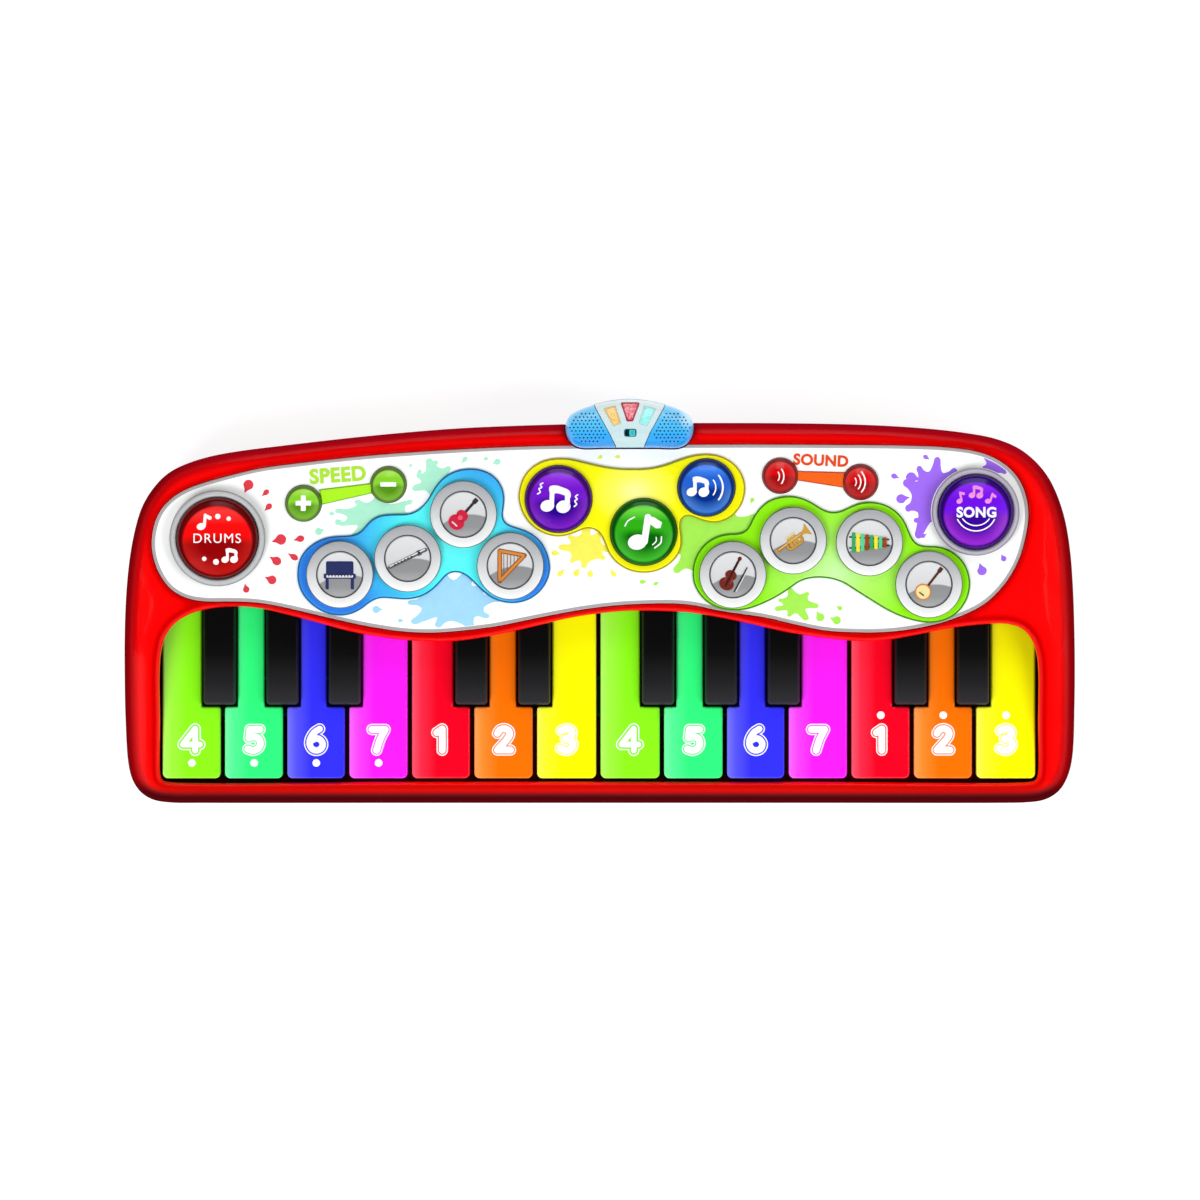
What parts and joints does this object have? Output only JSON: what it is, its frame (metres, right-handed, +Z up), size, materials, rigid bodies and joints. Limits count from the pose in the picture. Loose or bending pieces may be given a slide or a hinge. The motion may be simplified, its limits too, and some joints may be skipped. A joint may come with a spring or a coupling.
{
  "type": "toy electronic keyboard",
  "caption": "Toy electronic keyboard in a rounded shell: rainbow natural keys, black sharp keys, push buttons on a wavy face plate, and a lamp-and-speaker pod on the rear rim.",
  "frame": {"origin": "centre of the overall bounding box in plan, on the plane the feet rest on", "axes": "+X to the player's right, +Y to the rear towards the lamp pod, +Z up"},
  "size_m": [0.4278, 0.182, 0.0526],
  "materials": {
    "case_red": "gloss moulded shell",
    "panel_white": "gloss printed face plate",
    "plate_blue": "gloss",
    "plate_yellow": "gloss",
    "plate_green": "gloss",
    "pod_blue": "gloss",
    "pod_pale": "satin",
    "lens_clear": "clear moulded lens",
    "slider_teal": "satin",
    "speaker_black": "paper cone in a dark frame",
    "battery_cell": null,
    "board_green": "solder mask",
    "silicone_pale": "moulded silicone",
    "rod_steel": "ground rod",
    "key_lime": "gloss",
    "key_mint": "gloss",
    "key_blue": "gloss",
    "key_magenta": "gloss",
    "key_red": "gloss",
    "key_orange": "gloss",
    "key_yellow": "gloss",
    "key_black": "gloss",
    "button_red": "gloss dome",
    "button_violet": "gloss dome",
    "button_green": "gloss dome",
    "button_blue": "gloss dome",
    "button_lime": "gloss dome",
    "button_silver": "gloss dish"
  },
  "bodies": {
    "case": {"top_case": "case_red", "bottom_case": "case_red", "control_panel": "panel_white", "blue_button_plate": "plate_blue", "yellow_button_plate": "plate_yellow", "green_button_plate": "plate_green", "pod_shell": "pod_blue", "pod_center_panel": "pod_pale", "lamp_lens": "lens_clear", "battery_set": "battery_cell", "panel_circuit_board": "board_green", "key_contact_board": "board_green", "key_dome_strip": "silicone_pale", "button_dome_sheet": "silicone_pale", "left_speaker": "speaker_black", "right_speaker": "speaker_black", "key_hinge_rod": "rod_steel"},
    "door": {"battery_door": "case_red"},
    "slider": {"power_slider": "slider_teal"},
    "rhythm": {"rhythm_button": "button_red"},
    "demo": {"demo_button": "button_violet"},
    "tempo_up": {"tempo_up_button": "button_lime"},
    "tempo_down": {"tempo_down_button": "button_lime"},
    "volume_down": {"volume_down_button": "button_red"},
    "volume_up": {"volume_up_button": "button_red"},
    "piano": {"piano_button": "button_silver"},
    "flute": {"flute_button": "button_silver"},
    "guitar": {"guitar_button": "button_silver"},
    "harp": {"harp_button": "button_silver"},
    "violin": {"violin_button": "button_silver"},
    "trumpet": {"trumpet_button": "button_silver"},
    "xylophone": {"xylophone_button": "button_silver"},
    "banjo": {"banjo_button": "button_silver"},
    "record": {"record_button": "button_violet"},
    "play": {"play_button": "button_green"},
    "playback": {"playback_button": "button_blue"},
    "natural_01": {"natural_key_01": "key_lime"},
    "sharp_01": {"sharp_key_01": "key_black"},
    "natural_07": {"natural_key_07": "key_yellow"},
    "sharp_04": {"sharp_key_04": "key_black"},
    "natural_14": {"natural_key_14": "key_yellow"},
    "sharp_10": {"sharp_key_10": "key_black"},
    "natural_04": {"natural_key_04": "key_magenta"},
    "sharp_07": {"sharp_key_07": "key_black"},
    "natural_10": {"natural_key_10": "key_blue"},
    "sharp_02": {"sharp_key_02": "key_black"},
    "natural_02": {"natural_key_02": "key_mint"},
    "natural_03": {"natural_key_03": "key_blue"},
    "natural_05": {"natural_key_05": "key_red"},
    "natural_06": {"natural_key_06": "key_orange"},
    "natural_08": {"natural_key_08": "key_lime"},
    "natural_09": {"natural_key_09": "key_mint"},
    "natural_11": {"natural_key_11": "key_magenta"},
    "natural_12": {"natural_key_12": "key_red"},
    "natural_13": {"natural_key_13": "key_orange"},
    "sharp_03": {"sharp_key_03": "key_black"},
    "sharp_05": {"sharp_key_05": "key_black"},
    "sharp_06": {"sharp_key_06": "key_black"},
    "sharp_08": {"sharp_key_08": "key_black"},
    "sharp_09": {"sharp_key_09": "key_black"}
  },
  "joints": [
    {"name": "battery_door_hinge", "type": "hinge", "parent": "case", "child": "door", "pos_m": [0, 0.023, 0.002], "axis": [-1, 0, 0], "range_deg": [0, 80]},
    {"name": "power_slide", "type": "slide", "parent": "case", "child": "slider", "axis": [-1, 0, 0], "range_m": [0, 0.0022]},
    {"name": "rhythm_press", "type": "slide", "parent": "case", "child": "rhythm", "axis": [0, 0, -1], "range_m": [0, 0.0018], "stiffness_N_per_m": 200, "springref_m": -0.0012},
    {"name": "demo_press", "type": "slide", "parent": "case", "child": "demo", "axis": [0, 0, -1], "range_m": [0, 0.0018], "stiffness_N_per_m": 200, "springref_m": -0.0012},
    {"name": "tempo_up_press", "type": "slide", "parent": "case", "child": "tempo_up", "axis": [0, 0, -1], "range_m": [0, 0.0018], "stiffness_N_per_m": 200, "springref_m": -0.0012},
    {"name": "tempo_down_press", "type": "slide", "parent": "case", "child": "tempo_down", "axis": [0, 0, -1], "range_m": [0, 0.0018], "stiffness_N_per_m": 200, "springref_m": -0.0012},
    {"name": "volume_down_press", "type": "slide", "parent": "case", "child": "volume_down", "axis": [0, 0, -1], "range_m": [0, 0.0018], "stiffness_N_per_m": 200, "springref_m": -0.0012},
    {"name": "volume_up_press", "type": "slide", "parent": "case", "child": "volume_up", "axis": [0, 0, -1], "range_m": [0, 0.0018], "stiffness_N_per_m": 200, "springref_m": -0.0012},
    {"name": "piano_press", "type": "slide", "parent": "case", "child": "piano", "axis": [0, 0, -1], "range_m": [0, 0.0018], "stiffness_N_per_m": 200, "springref_m": -0.0012},
    {"name": "flute_press", "type": "slide", "parent": "case", "child": "flute", "axis": [0, 0, -1], "range_m": [0, 0.0018], "stiffness_N_per_m": 200, "springref_m": -0.0012},
    {"name": "guitar_press", "type": "slide", "parent": "case", "child": "guitar", "axis": [0, 0, -1], "range_m": [0, 0.0018], "stiffness_N_per_m": 200, "springref_m": -0.0012},
    {"name": "harp_press", "type": "slide", "parent": "case", "child": "harp", "axis": [0, 0, -1], "range_m": [0, 0.0018], "stiffness_N_per_m": 200, "springref_m": -0.0012},
    {"name": "violin_press", "type": "slide", "parent": "case", "child": "violin", "axis": [0, 0, -1], "range_m": [0, 0.0018], "stiffness_N_per_m": 200, "springref_m": -0.0012},
    {"name": "trumpet_press", "type": "slide", "parent": "case", "child": "trumpet", "axis": [0, 0, -1], "range_m": [0, 0.0018], "stiffness_N_per_m": 200, "springref_m": -0.0012},
    {"name": "xylophone_press", "type": "slide", "parent": "case", "child": "xylophone", "axis": [0, 0, -1], "range_m": [0, 0.0018], "stiffness_N_per_m": 200, "springref_m": -0.0012},
    {"name": "banjo_press", "type": "slide", "parent": "case", "child": "banjo", "axis": [0, 0, -1], "range_m": [0, 0.0018], "stiffness_N_per_m": 200, "springref_m": -0.0012},
    {"name": "record_press", "type": "slide", "parent": "case", "child": "record", "axis": [0, 0, -1], "range_m": [0, 0.0018], "stiffness_N_per_m": 200, "springref_m": -0.0012},
    {"name": "play_press", "type": "slide", "parent": "case", "child": "play", "axis": [0, 0, -1], "range_m": [0, 0.0018], "stiffness_N_per_m": 200, "springref_m": -0.0012},
    {"name": "playback_press", "type": "slide", "parent": "case", "child": "playback", "axis": [0, 0, -1], "range_m": [0, 0.0018], "stiffness_N_per_m": 200, "springref_m": -0.0012},
    {"name": "natural_01_press", "type": "hinge", "parent": "case", "child": "natural_01", "pos_m": [-0.18387, 0.014, 0.01975], "axis": [1, 0, 0], "range_deg": [0, 2.5], "stiffness_Nm_per_rad": 0.5, "springref_deg": -2.86},
    {"name": "sharp_01_press", "type": "hinge", "parent": "case", "child": "sharp_01", "pos_m": [-0.17125, 0.014, 0.01975], "axis": [1, 0, 0], "range_deg": [0, 2.5], "stiffness_Nm_per_rad": 0.5, "springref_deg": -2.86},
    {"name": "natural_07_press", "type": "hinge", "parent": "case", "child": "natural_07", "pos_m": [-0.01492, 0.014, 0.01975], "axis": [1, 0, 0], "range_deg": [0, 2.5], "stiffness_Nm_per_rad": 0.5, "springref_deg": -2.86},
    {"name": "sharp_04_press", "type": "hinge", "parent": "case", "child": "sharp_04", "pos_m": [-0.05785, 0.014, 0.01975], "axis": [1, 0, 0], "range_deg": [0, 2.5], "stiffness_Nm_per_rad": 0.5, "springref_deg": -2.86},
    {"name": "natural_14_press", "type": "hinge", "parent": "case", "child": "natural_14", "pos_m": [0.18294, 0.014, 0.01975], "axis": [1, 0, 0], "range_deg": [0, 2.5], "stiffness_Nm_per_rad": 0.5, "springref_deg": -2.86},
    {"name": "sharp_10_press", "type": "hinge", "parent": "case", "child": "sharp_10", "pos_m": [0.16814, 0.014, 0.01975], "axis": [1, 0, 0], "range_deg": [0, 2.5], "stiffness_Nm_per_rad": 0.5, "springref_deg": -2.86},
    {"name": "natural_04_press", "type": "hinge", "parent": "case", "child": "natural_04", "pos_m": [-0.0997, 0.014, 0.01975], "axis": [1, 0, 0], "range_deg": [0, 2.5], "stiffness_Nm_per_rad": 0.5, "springref_deg": -2.86},
    {"name": "sharp_07_press", "type": "hinge", "parent": "case", "child": "sharp_07", "pos_m": [0.05465, 0.014, 0.01975], "axis": [1, 0, 0], "range_deg": [0, 2.5], "stiffness_Nm_per_rad": 0.5, "springref_deg": -2.86},
    {"name": "natural_10_press", "type": "hinge", "parent": "case", "child": "natural_10", "pos_m": [0.07026, 0.014, 0.01975], "axis": [1, 0, 0], "range_deg": [0, 2.5], "stiffness_Nm_per_rad": 0.5, "springref_deg": -2.86},
    {"name": "sharp_02_press", "type": "hinge", "parent": "case", "child": "sharp_02", "pos_m": [-0.1429, 0.014, 0.01975], "axis": [1, 0, 0], "range_deg": [0, 2.5], "stiffness_Nm_per_rad": 0.5, "springref_deg": -2.86},
    {"name": "natural_02_press", "type": "hinge", "parent": "case", "child": "natural_02", "pos_m": [-0.15581, 0.014, 0.01975], "axis": [1, 0, 0], "range_deg": [0, 2.5], "stiffness_Nm_per_rad": 0.5, "springref_deg": -2.86},
    {"name": "natural_03_press", "type": "hinge", "parent": "case", "child": "natural_03", "pos_m": [-0.1278, 0.014, 0.01975], "axis": [1, 0, 0], "range_deg": [0, 2.5], "stiffness_Nm_per_rad": 0.5, "springref_deg": -2.86},
    {"name": "natural_05_press", "type": "hinge", "parent": "case", "child": "natural_05", "pos_m": [-0.07153, 0.014, 0.01975], "axis": [1, 0, 0], "range_deg": [0, 2.5], "stiffness_Nm_per_rad": 0.5, "springref_deg": -2.86},
    {"name": "natural_06_press", "type": "hinge", "parent": "case", "child": "natural_06", "pos_m": [-0.04336, 0.014, 0.01975], "axis": [1, 0, 0], "range_deg": [0, 2.5], "stiffness_Nm_per_rad": 0.5, "springref_deg": -2.86},
    {"name": "natural_08_press", "type": "hinge", "parent": "case", "child": "natural_08", "pos_m": [0.0137, 0.014, 0.01975], "axis": [1, 0, 0], "range_deg": [0, 2.5], "stiffness_Nm_per_rad": 0.5, "springref_deg": -2.86},
    {"name": "natural_09_press", "type": "hinge", "parent": "case", "child": "natural_09", "pos_m": [0.04219, 0.014, 0.01975], "axis": [1, 0, 0], "range_deg": [0, 2.5], "stiffness_Nm_per_rad": 0.5, "springref_deg": -2.86},
    {"name": "natural_11_press", "type": "hinge", "parent": "case", "child": "natural_11", "pos_m": [0.0983, 0.014, 0.01975], "axis": [1, 0, 0], "range_deg": [0, 2.5], "stiffness_Nm_per_rad": 0.5, "springref_deg": -2.86},
    {"name": "natural_12_press", "type": "hinge", "parent": "case", "child": "natural_12", "pos_m": [0.12651, 0.014, 0.01975], "axis": [1, 0, 0], "range_deg": [0, 2.5], "stiffness_Nm_per_rad": 0.5, "springref_deg": -2.86},
    {"name": "natural_13_press", "type": "hinge", "parent": "case", "child": "natural_13", "pos_m": [0.15464, 0.014, 0.01975], "axis": [1, 0, 0], "range_deg": [0, 2.5], "stiffness_Nm_per_rad": 0.5, "springref_deg": -2.86},
    {"name": "sharp_03_press", "type": "hinge", "parent": "case", "child": "sharp_03", "pos_m": [-0.11491, 0.014, 0.01975], "axis": [1, 0, 0], "range_deg": [0, 2.5], "stiffness_Nm_per_rad": 0.5, "springref_deg": -2.86},
    {"name": "sharp_05_press", "type": "hinge", "parent": "case", "child": "sharp_05", "pos_m": [-0.0295, 0.014, 0.01975], "axis": [1, 0, 0], "range_deg": [0, 2.5], "stiffness_Nm_per_rad": 0.5, "springref_deg": -2.86},
    {"name": "sharp_06_press", "type": "hinge", "parent": "case", "child": "sharp_06", "pos_m": [0.0263, 0.014, 0.01975], "axis": [1, 0, 0], "range_deg": [0, 2.5], "stiffness_Nm_per_rad": 0.5, "springref_deg": -2.86},
    {"name": "sharp_08_press", "type": "hinge", "parent": "case", "child": "sharp_08", "pos_m": [0.08282, 0.014, 0.01975], "axis": [1, 0, 0], "range_deg": [0, 2.5], "stiffness_Nm_per_rad": 0.5, "springref_deg": -2.86},
    {"name": "sharp_09_press", "type": "hinge", "parent": "case", "child": "sharp_09", "pos_m": [0.13997, 0.014, 0.01975], "axis": [1, 0, 0], "range_deg": [0, 2.5], "stiffness_Nm_per_rad": 0.5, "springref_deg": -2.86}
  ]
}
